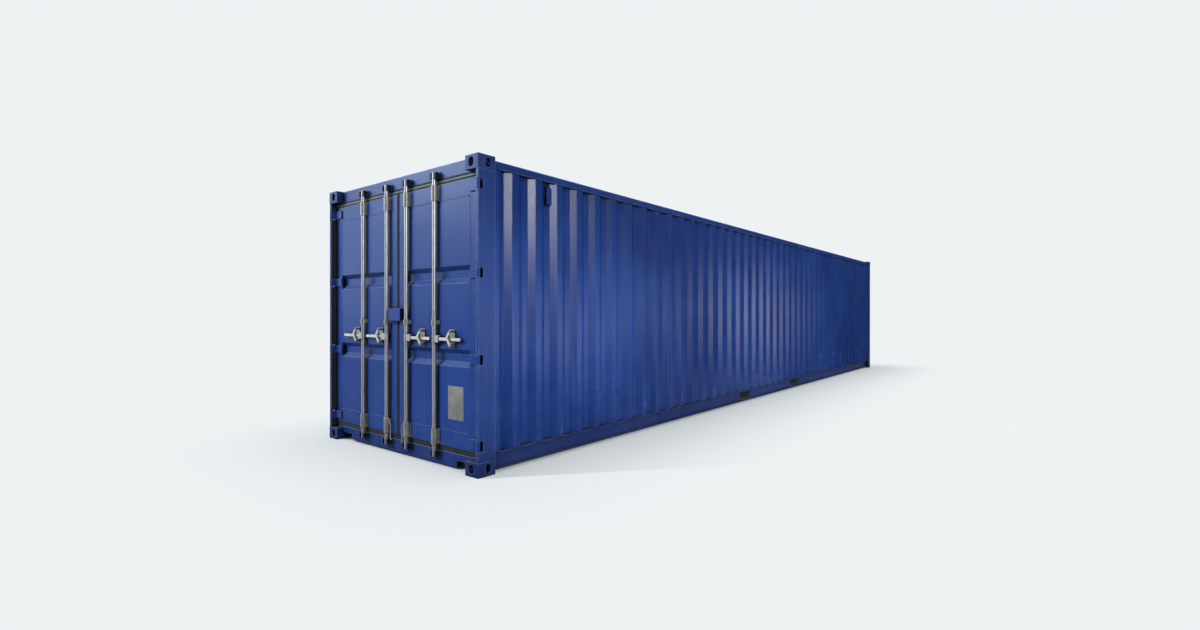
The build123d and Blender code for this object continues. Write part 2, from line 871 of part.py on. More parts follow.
def data_plate():
    right = panel_right - plate_from_stile
    low = panel_low + plate_up
    return block((right - plate_wide, right), (leaf_front_y - plate_thick, leaf_front_y),
                 (low, low + plate_tall))


# Both doors from the same parts, the left ones mirrored
guides = [bar_guide(x, span) for x in bar_places
          for span in (low_guide, middle_guide, top_guide)]
blades = [hinge_blade(z) for z in hinge_heights]
for side, turn, sign, catch_out, numbers in (
        ("right", lambda shape: shape, 1, right_catch_out, (3, 4)),
        ("left", left, -1, left_catch_out, (2, 1))):
    add(f"door_{side}_frame", turn(door_frame()))
    add(f"door_{side}_panel", turn(door_panel()))
    add(f"door_{side}_gasket", turn(door_gasket()))
    add(f"door_{side}_hinges", *[turn(blade) for blade in blades])
    add(f"door_{side}_guides", *[turn(guide) for guide in guides])
    add(f"door_{side}_catches", *[catch(sign * (x + catch_out)) for x in bar_places])
    add(f"tieback_{side}", turn(tieback(bar_places[0])))
    for number, x in zip(numbers, bar_places):
        add(f"lock_bar_{number}", turn(lock_bar(x)))
        add(f"handle_{number}", turn(handle(x)))
        add(f"hasp_{number}", hasp(sign * (x + catch_out)))

add("lock_box", lock_box())
add("lock_staple", lock_staple())
add("data_plate", data_plate())

keepers = []
for x in bar_places:
    for low in (bar_bottom, bar_top - cam_high):
        keepers += keeper(x, low)
add("cam_keepers", *keepers, *[left(piece) for piece in keepers])

os.makedirs("parts", exist_ok=True)
for name, solids in nodes.items():
    shape = solids[0] if len(solids) == 1 else Compound(solids)
    export_step(shape, f"parts/{name}.step")
print(len(nodes), "pieces,", sum(len(solids) for solids in nodes.values()), "solids")
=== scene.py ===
# %% [markdown]
# # A 40 foot freight container, dressed
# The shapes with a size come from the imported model: rails, posts, walls, doors and lock gear.
# This script keeps all of them where they are, gives each one a painted, galvanised or rubber
# finish, and adds what is too small for the model, such as weld beads, bolts and seal strips.

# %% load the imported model
import json
import math
import random

import bpy
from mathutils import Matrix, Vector


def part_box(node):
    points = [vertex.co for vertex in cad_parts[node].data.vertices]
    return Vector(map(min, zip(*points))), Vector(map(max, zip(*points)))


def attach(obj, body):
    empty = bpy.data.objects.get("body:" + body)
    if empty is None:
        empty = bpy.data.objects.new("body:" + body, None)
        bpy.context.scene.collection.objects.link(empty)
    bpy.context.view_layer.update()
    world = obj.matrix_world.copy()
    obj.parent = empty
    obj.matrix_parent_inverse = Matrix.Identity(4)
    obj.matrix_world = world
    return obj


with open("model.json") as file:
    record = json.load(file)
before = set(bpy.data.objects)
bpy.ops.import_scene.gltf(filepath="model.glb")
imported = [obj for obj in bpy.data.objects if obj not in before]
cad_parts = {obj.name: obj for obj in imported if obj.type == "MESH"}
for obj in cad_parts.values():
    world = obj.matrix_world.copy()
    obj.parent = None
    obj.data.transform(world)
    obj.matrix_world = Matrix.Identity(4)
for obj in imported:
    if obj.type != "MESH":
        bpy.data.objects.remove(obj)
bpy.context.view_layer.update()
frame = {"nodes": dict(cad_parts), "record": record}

nodes = frame["nodes"]
random.seed(4012)

# %% [markdown]
# ## Camera
# The photograph was taken close to the door corner with a wide lens, from about chest height,
# so the long side runs away steeply. The place and the angle were worked out from the corners
# of the container, whose real distances are known. A camera that only points at the middle
# would look similar, but the rails would not meet the edges of the picture in the same places.

# %% the camera of the photograph
PHOTO_WIDTH = 1200
FOCAL_PIXELS = 569.0
SENSOR = 36.0
CAMERA_PLACE = (4.791, -9.010, 1.307)
TILT_DOWN, TURN_LEFT = 0.08, 38.70
FARTHEST = 300.0
lens = bpy.data.cameras.new("photo_camera")
lens.sensor_width = SENSOR
lens.lens = SENSOR * FOCAL_PIXELS / PHOTO_WIDTH
lens.clip_end = FARTHEST
camera = bpy.data.objects.new("photo_camera", lens)
camera.location = CAMERA_PLACE
camera.rotation_euler = (math.radians(90 - TILT_DOWN), 0.0, math.radians(TURN_LEFT))
bpy.context.scene.collection.objects.link(camera)
bpy.context.scene.camera = camera
bpy.context.scene.view_settings.view_transform = "Standard"
print("lens", round(lens.lens, 2), "mm")

# %% [markdown]
# ## Small helpers for materials
# A node tree is easier to read when one line makes a node, sets it and links it. These helpers
# do only that. A value can be a number, a colour or the output of another node.

# %% node helpers
def add_node(tree, kind, inputs=None, **settings):
    made = tree.nodes.new("ShaderNode" + kind)
    for key, value in settings.items():
        setattr(made, key, value)
    for key, value in (inputs or {}).items():
        if isinstance(value, bpy.types.NodeSocket):
            tree.links.new(value, made.inputs[key])
        else:
            made.inputs[key].default_value = value
    return made


def calc(tree, operation, first, second=0.0, third=0.0, clamp=False):
    return add_node(tree, "Math", {0: first, 1: second, 2: third}, operation=operation,
                    use_clamp=clamp).outputs[0]


def spread(tree, value, low, high, to_low=0.0, to_high=1.0):
    """Where value goes from low to high, the answer goes from to_low to to_high, smoothly."""
    return add_node(tree, "MapRange", {"Value": value, "From Min": low, "From Max": high,
                                       "To Min": to_low, "To Max": to_high},
                    interpolation_type="SMOOTHSTEP").outputs["Result"]


def mix_colour(tree, factor, first, second):
    made = add_node(tree, "Mix", {0: factor, 6: first, 7: second}, data_type="RGBA")
    return made.outputs[2]


def rgb(red, green, blue):
    """A colour as a picture editor shows it, 0 to 255, turned into what a shader reads."""
    def straight(level):
        level /= 255
        return level / 12.92 if level <= 0.04045 else ((level + 0.055) / 1.055) ** 2.4
    return (straight(red), straight(green), straight(blue), 1.0)


print("a picture's mid grey is", round(rgb(128, 128, 128)[0], 3), "to a shader")

# %% [markdown]
# Most patterns here start from a place on the object, in metres, and a noise that is read
# there. Stretching the place along one axis first draws the noise out into runs or grain.

# %% pattern helpers
def place_on(tree):
    """Where a point lies on the object, which goes with the piece when its body moves."""
    return add_node(tree, "TexCoord").outputs["Object"]


def stretch(tree, vector, x, y, z):
    return add_node(tree, "VectorMath", {0: vector, 1: (x, y, z)},
                    operation="MULTIPLY").outputs[0]


def axis(tree, vector, letter):
    return add_node(tree, "SeparateXYZ", {0: vector}).outputs[letter]


def cloud(tree, vector, scale, detail=2.0, roughness=0.5):
    return add_node(tree, "TexNoise", {"Vector": vector, "Scale": scale, "Detail": detail,
                                       "Roughness": roughness}).outputs["Fac"]


print("pattern helpers are ready")

# %% [markdown]
# ## Effects that several finishes share
# Worn edges with painted highlights, the skin of sprayed paint, rain streaks, dust, dirt and
# painted shade in recesses, and zinc crystals turn up on many pieces. They could be built again
# in each material, but then a change has to be made in every one. Here each is one node group
# with named inputs, built once and placed in each material with its own values. A group only
# puts out masks, heights and normals. The shader itself stays in the material, where its plain
# numbers can be read.

# %% a new node group
def new_group(name, inputs, outputs):
    group = bpy.data.node_groups.new(name, "ShaderNodeTree")
    for label, value in inputs.items():
        socket = group.interface.new_socket(label, in_out="INPUT", socket_type="NodeSocketFloat")
        socket.default_value = value
    for label, kind in outputs.items():
        group.interface.new_socket(label, in_out="OUTPUT", socket_type="NodeSocket" + kind)
    enter = group.nodes.new("NodeGroupInput")
    leave = group.nodes.new("NodeGroupOutput")
    return group, enter.outputs, leave.inputs


def place_group(tree, group, **values):
    made = tree.nodes.new("ShaderNodeGroup")
    made.node_tree = group
    for key, value in values.items():
        made.inputs[key].default_value = value
    return made.outputs


print("a group is made by new_group and used by place_group")

# %% [markdown]
# Worn edges and painted highlights: paint is thin on a sharp edge and gets rubbed there first,
# and a rounded edge catches a line of light. In the blue paint the pale colour laid on by this
# mask is partly rubbed paint and partly a painted highlight along the edges. A mask painted by
# hand would be lost when the model changes. The Bevel node looks round a point for other faces
# and bends the normal where it finds an edge, on any mesh. How far it bends the normal is the
# mask, broken up by noise so that the rubbed paint and the highlight come and go. The bent
# normal is put out as well, because it also makes a sharp corner catch the light as a rounded
# one.

# %% edge wear group
FLAT, SHARP = 0.995, 0.90
edge_wear_and_highlight, given, result = new_group(
    "edge_wear_and_highlight", {"Radius": 0.003, "Amount": 0.6, "Patch": 14.0},
    {"Mask": "Float", "Rounded": "Vector"})
place = place_on(edge_wear_and_highlight)
surface = add_node(edge_wear_and_highlight, "NewGeometry").outputs["Normal"]
rounded = add_node(edge_wear_and_highlight, "Bevel", {"Radius": given["Radius"]}, samples=4).outputs[0]
bend = add_node(edge_wear_and_highlight, "VectorMath", {0: surface, 1: rounded}, operation="DOT_PRODUCT")
near_edge = spread(edge_wear_and_highlight, bend.outputs["Value"], FLAT, SHARP)
patches = spread(edge_wear_and_highlight, cloud(edge_wear_and_highlight, place, given["Patch"], 4.0), 0.38, 0.62, 0.5, 1.0)
mask = calc(edge_wear_and_highlight, "MULTIPLY", calc(edge_wear_and_highlight, "MULTIPLY", near_edge, patches),
            given["Amount"], clamp=True)
edge_wear_and_highlight.links.new(mask, result["Mask"])
edge_wear_and_highlight.links.new(rounded, result["Rounded"])
print("edge_wear_and_highlight has", len(edge_wear_and_highlight.nodes), "nodes")

# %% [markdown]
# The skin of sprayed paint: a fine ripple that is called orange peel, shallow unevenness of the
# sheet under it, and slow drifts of shade where the film is thicker or thinner. A picture of
# paint would have to be unwrapped onto every piece. Noise that is read at the place itself
# needs no unwrapping: two scales of it make the height, and a third, slow one makes the tone.

# %% paint skin group
PEEL_SHARE, SHEET_SHARE = 0.35, 0.65
paint_skin, given, result = new_group(
    "paint_skin", {"Ripple": 170.0, "Drift": 1.3}, {"Height": "Float", "Tone": "Float"})
place = place_on(paint_skin)
peel = cloud(paint_skin, place, given["Ripple"], 2.0)
uneven = cloud(paint_skin, place, 6.0, 3.0)
height = calc(paint_skin, "ADD", calc(paint_skin, "MULTIPLY", peel, PEEL_SHARE),
              calc(paint_skin, "MULTIPLY", uneven, SHEET_SHARE))
tone = spread(paint_skin, cloud(paint_skin, place, given["Drift"], 5.0, 0.6), 0.3, 0.7)
paint_skin.links.new(height, result["Height"])
paint_skin.links.new(tone, result["Tone"])
print("paint_skin has", len(paint_skin.nodes), "nodes")

# %% [markdown]
# Rain streaks: water runs straight down a wall and leaves pale lines. A picture of streaks
# would repeat from fold to fold. Noise that is drawn out along Z gives long thin runs that
# never repeat, and a second slow noise decides where there are any at all.

# %% rain streak group
LONG_RUN, LONG_PATCH = 0.025, 0.5
rain_streaks, given, result = new_group(
    "rain_streaks", {"Width": 26.0, "Amount": 0.3}, {"Mask": "Float"})
place = place_on(rain_streaks)
runs = cloud(rain_streaks, stretch(rain_streaks, place, 1.0, 1.0, LONG_RUN), given["Width"], 3.0)
where = cloud(rain_streaks, stretch(rain_streaks, place, 1.0, 1.0, LONG_PATCH), 1.7, 2.0)
mask = calc(rain_streaks, "MULTIPLY", spread(rain_streaks, runs, 0.52, 0.72),
            spread(rain_streaks, where, 0.40, 0.65))
mask = calc(rain_streaks, "MULTIPLY", mask, given["Amount"], clamp=True)
rain_streaks.links.new(mask, result["Mask"])
print("rain_streaks has", len(rain_streaks.nodes), "nodes")

# %% [markdown]
# Dust: it lies on what faces up, and road spray leaves a thin film near the ground. Both follow
# from the shape itself, so nothing has to be painted: the normal's Z gives the first, the
# height above the ground gives the second, and noise keeps both from looking like a stencil.

# %% dust group
STEEP, LEVEL = 0.35, 0.95
dust, given, result = new_group(
    "dust", {"Lying": 0.6, "Spray": 0.25, "Spray height": 0.9}, {"Mask": "Float"})
place = place_on(dust)
facing = axis(dust, add_node(dust, "NewGeometry").outputs["Normal"], "Z")
upward = spread(dust, facing, STEEP, LEVEL)
share_up = calc(dust, "DIVIDE", axis(dust, place, "Z"), given["Spray height"])
low_down = calc(dust, "SUBTRACT", 1.0, share_up, clamp=True)
specks = spread(dust, cloud(dust, place, 9.0, 6.0, 0.65), 0.30, 0.75)
mask = calc(dust, "ADD", calc(dust, "MULTIPLY", upward, given["Lying"]),
            calc(dust, "MULTIPLY", low_down, given["Spray"]))
dust.links.new(calc(dust, "MULTIPLY", mask, specks, clamp=True), result["Mask"])
print("dust has", len(dust.nodes), "nodes")

# %% [markdown]
# Dirt and painted shade in corners: rain washes the open faces, and the dirt stays in every
# recess, under flanges and round the lock gear. The same dark colour also paints in the shade
# that falls there: under the rail flanges, in the wall's troughs, on the swages and beside the
# lock bars. It could be noise alone, but then it would lie anywhere. The Ambient Occlusion node
# measures how much of the sky a point can't see within a short distance, which is just where
# rain doesn't reach either and where shade falls. The lowest hand's breadth above the road is
# darker all over, as road dirt and as painted shade near the ground.

# %% crevice group
SHUT_IN = 0.42
ROAD_LOW, ROAD_HIGH = 0.10, 0.24
crevice_grime_and_shade, given, result = new_group(
    "crevice_grime_and_shade", {"Distance": 0.05, "Amount": 0.7, "Road": 0.3, "Start": 0.86},
    {"Mask": "Float"})
open_sky = add_node(crevice_grime_and_shade, "AmbientOcclusion", {"Distance": given["Distance"]}, samples=8)
# painted shade and dirt: darker where a point sees little sky close by
recess = spread(crevice_grime_and_shade, open_sky.outputs["AO"], given["Start"], SHUT_IN)
above = axis(crevice_grime_and_shade, place_on(crevice_grime_and_shade), "Z")
# painted shade and road dirt: darker over the lowest part, near the ground
low_shade_and_grime = calc(crevice_grime_and_shade, "MULTIPLY", spread(crevice_grime_and_shade, above, ROAD_HIGH, ROAD_LOW), given["Road"])
mask = calc(crevice_grime_and_shade, "MAXIMUM", calc(crevice_grime_and_shade, "MULTIPLY", recess, given["Amount"]), low_shade_and_grime,
            clamp=True)
crevice_grime_and_shade.links.new(mask, result["Mask"])
print("crevice has", len(crevice_grime_and_shade.nodes), "nodes")

# %% [markdown]
# Zinc crystals: hot-dip galvanised steel shows flat patches of slightly different grey, and
# it dulls in blotches. Plain noise has no such patches with straight borders, but Voronoi cells
# do: each cell gives a crystal its own tone, and a very fine noise adds a grain.

# %% zinc group
CRYSTAL_SHARE, BLOTCH_SHARE = 0.35, 0.65
zinc_skin, given, result = new_group(
    "zinc_skin", {"Crystals": 120.0, "Grain": 900.0}, {"Tone": "Float", "Height": "Float"})
place = place_on(zinc_skin)
cells = add_node(zinc_skin, "TexVoronoi", {"Vector": place, "Scale": given["Crystals"]})
cell_tone = add_node(zinc_skin, "SeparateColor", {0: cells.outputs["Color"]}).outputs[0]
blotches = cloud(zinc_skin, place, 11.0, 4.0, 0.6)
tone = calc(zinc_skin, "ADD", calc(zinc_skin, "MULTIPLY", cell_tone, CRYSTAL_SHARE),
            calc(zinc_skin, "MULTIPLY", blotches, BLOTCH_SHARE))
grain = cloud(zinc_skin, place, given["Grain"], 2.0)
zinc_skin.links.new(tone, result["Tone"])
zinc_skin.links.new(calc(zinc_skin, "ADD", grain, cell_tone), result["Height"])
print("zinc_skin has", len(zinc_skin.nodes), "nodes")

# %% [markdown]
# ## A shader to start from
# Each material begins as one Principled BSDF with its own roughness, and nearly all of them
# end with a bump. The Bump node takes the rounded normal of the worn edges as its base, so
# that both effects add up instead of the last one winning.

# %% start and end of a material
def start_material(name, roughness, metallic=0.0):
    material = bpy.data.materials.new(name)
    material.use_nodes = True
    shader = material.node_tree.nodes["Principled BSDF"]
    shader.inputs["Roughness"].default_value = roughness
    shader.inputs["Metallic"].default_value = metallic
    return material, material.node_tree, shader


def bumped(tree, shader, height, rounded, strength, distance):
    bump = add_node(tree, "Bump", {"Height": height, "Normal": rounded, "Strength": strength,
                                   "Distance": distance})
    tree.links.new(bump.outputs[0], shader.inputs["Normal"])


print("start_material and bumped are ready")

# %% [markdown]
# ## The blue paint
# Everything outside is sprayed in one semi-gloss blue. What differs is the steel under it and
# its use: thick frame steel that gets knocked, rough cast fittings, pressed wall sheet, the
# roof that the sun has bleached, and the doors. One function makes them all, so that they stay
# one family, and takes the values that differ. The layers go on in this order: paint, chalky
# streaks, dust, rubbed edges with painted highlights, and last the dirt and painted shade in
# the corners.

# %% the layers of painted steel
CHALKED = rgb(78, 102, 162)
# pale edges: rubbed paint, and painted highlights along the edges
WORN_AND_HIGHLIGHT = rgb(150, 168, 212)
DUST = rgb(134, 138, 148)
# colour of dirt and of painted shade in recesses and near the ground
GRIME_AND_SHADE = rgb(10, 14, 34)
ROAD_FILM = 0.08
DUST_DULLS, TONE_DULLS = 0.4, 0.05
PAINT_DEPTH = 0.002


def painted_steel(name, light, deep, roughness=0.33, radius=0.006, wear_and_highlight=0.7, streaks=0.25,
                  ripple=170.0, bump=0.25, grime_and_shade=0.75, reach=0.05, start=0.86, lying=0.35,
                  gloss=0.06):
    material, tree, shader = start_material(name, roughness)
    shader.inputs["Specular IOR Level"].default_value = gloss
    skin = place_group(tree, paint_skin, Ripple=ripple)
    edges = place_group(tree, edge_wear_and_highlight, Radius=radius, Amount=wear_and_highlight)
    runs = place_group(tree, rain_streaks, Amount=streaks)
    film = place_group(tree, dust, Lying=lying, Spray=ROAD_FILM)
    corners = place_group(tree, crevice_grime_and_shade, Amount=grime_and_shade, Distance=reach, Start=start)
    colour = mix_colour(tree, skin["Tone"], deep, light)
    for mask, layer in ((runs["Mask"], CHALKED), (film["Mask"], DUST), (edges["Mask"], WORN_AND_HIGHLIGHT),
                        (corners["Mask"], GRIME_AND_SHADE)):
        colour = mix_colour(tree, mask, colour, layer)
    tree.links.new(colour, shader.inputs["Base Color"])
    dull = calc(tree, "MULTIPLY_ADD", film["Mask"], DUST_DULLS, roughness)
    dull = calc(tree, "ADD", dull, calc(tree, "MULTIPLY", skin["Tone"], TONE_DULLS))
    tree.links.new(dull, shader.inputs["Roughness"])
    bumped(tree, shader, skin["Height"], edges["Rounded"], bump, PAINT_DEPTH)
    return material


print("layers over the paint: chalk, dust, wear, grime")

# %% painted steels
BLUE = rgb(30, 68, 144)
DEEP_BLUE = rgb(21, 55, 128)
# reach and start set how far dirt and painted shade spread from recesses, such as under the rail
# flanges, in the wall's troughs and round the swages and bars
frame_paint = painted_steel("frame_paint", BLUE, DEEP_BLUE, radius=0.010, wear_and_highlight=1.0, reach=0.08,
                            start=0.94, grime_and_shade=0.9)
casting_paint = painted_steel("casting_paint", rgb(27, 61, 130), rgb(19, 49, 114),
                              roughness=0.42, radius=0.008, wear_and_highlight=0.75, ripple=60.0, bump=0.8,
                              grime_and_shade=0.9, start=0.92)
wall_paint = painted_steel("wall_paint", BLUE, DEEP_BLUE, roughness=0.22, radius=0.012,
                           wear_and_highlight=0.0, streaks=0.35, bump=0.6, grime_and_shade=0.85, reach=0.10)
roof_paint = painted_steel("roof_paint", rgb(46, 80, 150), rgb(34, 67, 138), roughness=0.62,
                           radius=0.012, wear_and_highlight=0.0, streaks=0.0, grime_and_shade=0.6, reach=0.06,
                           lying=0.22, gloss=0.02)
door_paint = painted_steel("door_paint", rgb(35, 70, 146), rgb(25, 60, 134), roughness=0.32,
                           streaks=0.2, grime_and_shade=1.0, reach=0.075, start=0.96)
print("painted steels:", [m.name for m in bpy.data.materials if "paint" in m.name])

# %% [markdown]
# ## Bare and coated metal
# The lock gear is hot-dip galvanised, so it is pale, dull and speckled. Pure metal would turn
# black or white with whatever it mirrors, so the dull pieces are only a little metallic, and
# the bolts, which are bright, much more. The data plate is a blank sheet of aluminium.

# %% galvanised metals and the plate
ZINC_DUST = rgb(128, 122, 110)
# colour of dirt and of painted shade in the recesses round the lock gear
ZINC_GRIME_AND_SHADE = rgb(16, 17, 24)
ZINC_DEPTH = 0.0006
ZINC_TONE_DULLS = 0.1


def zinc_metal(name, light, dark, roughness, metallic, grime_and_shade=0.8, bump=0.15, crystals=160.0):
    material, tree, shader = start_material(name, roughness, metallic)
    skin = place_group(tree, zinc_skin, Crystals=crystals)
    edges = place_group(tree, edge_wear_and_highlight, Radius=0.002, Amount=0.5)
    lying = place_group(tree, dust, Lying=0.35, Spray=0.3)
    corners = place_group(tree, crevice_grime_and_shade, Distance=0.03, Amount=grime_and_shade, Road=0.0)
    colour = mix_colour(tree, spread(tree, skin["Tone"], 0.3, 0.7), dark, light)
    colour = mix_colour(tree, lying["Mask"], colour, ZINC_DUST)
    colour = mix_colour(tree, corners["Mask"], colour, ZINC_GRIME_AND_SHADE)
    tree.links.new(colour, shader.inputs["Base Color"])
    tree.links.new(calc(tree, "MULTIPLY_ADD", skin["Tone"], ZINC_TONE_DULLS, roughness),
                   shader.inputs["Roughness"])
    bumped(tree, shader, skin["Height"], edges["Rounded"], bump, ZINC_DEPTH)
    return material


galvanised = zinc_metal("galvanised", rgb(204, 202, 190), rgb(158, 157, 148), 0.45, 0.1)
bar_zinc = zinc_metal("bar_zinc", rgb(152, 154, 155), rgb(126, 128, 130), 0.34, 0.25, grime_and_shade=0.7,
                      bump=0.03)
pressed_zinc = zinc_metal("pressed_zinc", rgb(148, 148, 143), rgb(102, 103, 101), 0.45, 0.1)
# the catches: dulled zinc, darkened further as painted shade
dull_and_shaded_zinc = zinc_metal("dull_and_shaded_zinc", rgb(116, 117, 113), rgb(80, 82, 81), 0.50, 0.1)
bolt_zinc = zinc_metal("bolt_zinc", rgb(150, 152, 154), rgb(112, 115, 118), 0.30, 0.85)
plate_metal = zinc_metal("plate_metal", rgb(134, 135, 128), rgb(70, 74, 71), 0.45, 0.1,
                         crystals=420.0)
print("metals:", [m.name for m in bpy.data.materials if "zinc" in m.name], plate_metal.name)

# %% [markdown]
# The keepers on the frame are forgings that are painted nearly black, so they are one more
# painted steel. Under the floor everything wears a thick dull coat of wax, which hides the
# metal and holds the road dust.

# %% dark steel and underside coat
keeper_steel = painted_steel("keeper_steel", rgb(22, 28, 50), rgb(12, 16, 32), roughness=0.45,
                             wear_and_highlight=0.9, streaks=0.0, ripple=90.0, bump=0.5)

WAX_DEPTH = 0.002
underside_coat, tree, shader = start_material("underside_coat", 0.75)
skin = place_group(tree, paint_skin, Ripple=45.0)
lying = place_group(tree, dust, Lying=0.3, Spray=0.6)
edges = place_group(tree, edge_wear_and_highlight, Radius=0.004)
colour = mix_colour(tree, skin["Tone"], rgb(34, 35, 38), rgb(56, 57, 60))
colour = mix_colour(tree, lying["Mask"], colour, rgb(104, 98, 88))
tree.links.new(colour, shader.inputs["Base Color"])
bumped(tree, shader, skin["Height"], edges["Rounded"], 0.7, WAX_DEPTH)
print("dark finishes:", keeper_steel.name, underside_coat.name)

# %% [markdown]
# ## Rubber and seal strip
# The door seals are black rubber that has gone brown with dust. The strip that holds them is
# a dull khaki. Both are soft, matt and finely pitted, so one function makes the two. The paint
# skin serves them as well, with a finer ripple and a quicker drift.

# %% rubber and strip
RUBBER_DUST = rgb(112, 104, 92)
RUBBER_DEPTH = 0.001


def soft_black(name, dark, light, roughness):
    material, tree, shader = start_material(name, roughness)
    shader.inputs["Specular IOR Level"].default_value = 0.15
    skin = place_group(tree, paint_skin, Ripple=320.0, Drift=7.0)
    lying = place_group(tree, dust, Lying=0.6, Spray=0.08)
    edges = place_group(tree, edge_wear_and_highlight, Radius=0.003)
    colour = mix_colour(tree, skin["Tone"], dark, light)
    colour = mix_colour(tree, lying["Mask"], colour, RUBBER_DUST)
    tree.links.new(colour, shader.inputs["Base Color"])
    bumped(tree, shader, skin["Height"], edges["Rounded"], 0.3, RUBBER_DEPTH)
    return material


seal_rubber = soft_black("seal_rubber", rgb(9, 9, 14), rgb(24, 22, 24), 0.8)
seal_strip = soft_black("seal_strip", rgb(74, 76, 74), rgb(100, 101, 96), 0.55)
print("soft finishes:", seal_rubber.name, seal_strip.name)

# %% [markdown]
# ## Floor boards
# The floor is thick plywood, and its face grain runs along the container. Noise that is drawn
# out along Y gives the grain, a slower one the broad figure of the veneer, and a round one the
# scuffs of boots and pallets. Wood is used only once, so it needs no group and is built
# straight into its material.

# %% floor wood
ALONG_GRAIN, ALONG_FIGURE = 0.045, 0.16
WOOD_DEPTH = 0.001
floor_wood, tree, shader = start_material("floor_wood", 0.55)
place = place_on(tree)
grain = cloud(tree, stretch(tree, place, 1.0, ALONG_GRAIN, 1.0), 42.0, 6.0, 0.62)
figure = cloud(tree, stretch(tree, place, 1.0, ALONG_FIGURE, 1.0), 5.0, 3.0)
scuffs = cloud(tree, place, 3.4, 6.0, 0.7)
colour = mix_colour(tree, spread(tree, grain, 0.35, 0.65), rgb(112, 74, 46), rgb(158, 114, 74))
colour = mix_colour(tree, spread(tree, figure, 0.4, 0.7, 0.0, 0.5), colour, rgb(132, 86, 54))
colour = mix_colour(tree, spread(tree, scuffs, 0.55, 0.8, 0.0, 0.6), colour, rgb(92, 80, 70))
tree.links.new(colour, shader.inputs["Base Color"])
edges = place_group(tree, edge_wear_and_highlight, Radius=0.002)
bumped(tree, shader, grain, edges["Rounded"], 0.25, WOOD_DEPTH)
print("the floor's finish is", floor_wood.name)

# %% [markdown]
# ## Finishes on the imported pieces
# A list of all pieces with their finish would have to be kept up by hand. But the record
# already says which slot each piece takes, so the first table turns the slot into the material
# that was made for it. A few kinds of piece differ inside their slot, and the second table
# names them: sand casting leaves the corner fittings rougher than the frame, the roof has
# bleached, the drawn tube of the lock bars is smoother than pressed steel, and the pressed
# guides and catches have dulled more than the handles that hands keep clean. The catches are
# darker still, which partly paints the shade that falls on them.

# %% give every imported piece its finish
FINISHES = {"frame_paint": frame_paint, "wall_paint": wall_paint, "door_paint": door_paint,
            "underside_coat": underside_coat, "floor_wood": floor_wood,
            "keeper_steel": keeper_steel, "galvanised": galvanised,
            "seal_rubber": seal_rubber, "plate_metal": plate_metal}
OWN_FINISHES = {"corner_fittings": casting_paint, "roof_panel": roof_paint,
                "lock_bar": bar_zinc, "_guides": pressed_zinc, "_catches": dull_and_shaded_zinc}
for part in frame["record"]["subparts"]:
    finish = FINISHES[part["material_slot"]]
    for word, own_finish in OWN_FINISHES.items():
        if word in part["node"]:
            finish = own_finish
    piece = nodes[part["node"]]
    piece.data.materials.clear()
    piece.data.materials.append(finish)

# %% [markdown]
# ## Small helpers for meshes
# The added pieces are many small shapes joined in one mesh each: beads, domes and strips. A
# separate object for each bolt would work too, but hundreds of objects are slow to handle. A
# Shape collects corners and faces, and make_piece turns it into one object that rides on its
# body. Points are written in metres in the same frame as the model, so nothing is moved after.

# %% shapes and pieces
class Shape:
    def __init__(self):
        self.corners, self.faces = [], []

    def add(self, corners, faces):
        start = len(self.corners)
        self.corners += [tuple(c) for c in corners]
        self.faces += [[start + i for i in face] for face in faces]


def make_piece(name, shape, material, body, smooth=True):
    mesh = bpy.data.meshes.new(name)
    mesh.from_pydata(shape.corners, [], shape.faces)
    mesh.validate()
    if smooth:
        mesh.shade_smooth()
    mesh.materials.append(material)
    piece = bpy.data.objects.new(name, mesh)
    bpy.context.scene.collection.objects.link(piece)
    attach(piece, body)


def circle(centre, side, over, radius, sides):
    """Corners on a circle round centre, which lies in the plane of side and over."""
    return [centre + radius * (math.cos(a) * side + math.sin(a) * over)
            for a in (2 * math.pi * k / sides for k in range(sides))]


def band(low, high, sides):
    """Faces between two rings of corners, of which low and high are the first ones."""
    return [(low + k, low + (k + 1) % sides, high + (k + 1) % sides, high + k)
            for k in range(sides)]


print("shape helpers are ready")

# %% [markdown]
# Rods and beads: a curve with a bevel would give a rod as well, but its thickness would be set
# point by point, and it would have to be turned into a mesh to be joined with others. So a line
# is cut into short steps, and a ring of corners is set across it at each step. With ripple,
# each ring is a little larger or smaller at random, which looks like a bead welded by hand.

# %% rods and beads
def walk(points, step):
    """The same line with points added, none further apart than step."""
    line = [Vector(points[0])]
    for end in points[1:]:
        start, end = line[-1].copy(), Vector(end)
        count = max(1, math.ceil((end - start).length / step))
        line += [start.lerp(end, k / count) for k in range(1, count + 1)]
    return line


def tube(shape, points, radius, sides=6, ripple=0.0):
    """A round rod or bead through the points, closed at both ends."""
    corners, faces = [], []
    for index, point in enumerate(points):
        before = points[max(index - 1, 0)]
        after = points[min(index + 1, len(points) - 1)]
        ahead = (after - before).normalized()
        side = ahead.cross(Vector((0, 0, 1)))
        if side.length < 0.3:
            side = ahead.cross(Vector((0, 1, 0)))
        side.normalize()
        size = radius * (1 + ripple * random.uniform(-1, 1))
        corners += circle(point, side, side.cross(ahead), size, sides)
    for ring in range(len(points) - 1):
        for k in range(sides):
            a, b = ring * sides + k, ring * sides + (k + 1) % sides
            faces.append((a, a + sides, b + sides, b))
    faces.append(tuple(range(sides)))
    faces.append(tuple(reversed(range(len(corners) - sides, len(corners)))))
    shape.add(corners, faces)


print("a metre in steps of 3 cm has", len(walk([(0, 0, 0), (1, 0, 0)], 0.03)), "points")

# %% [markdown]
# Heads and strips: a bolt head is four rings that draw in towards a top corner, which looks as
# round as half a sphere and has fewer faces. A strip is a flat bar. Its front edges are broken
# by a narrow slope, because an edge without one catches no light and looks cut from paper.

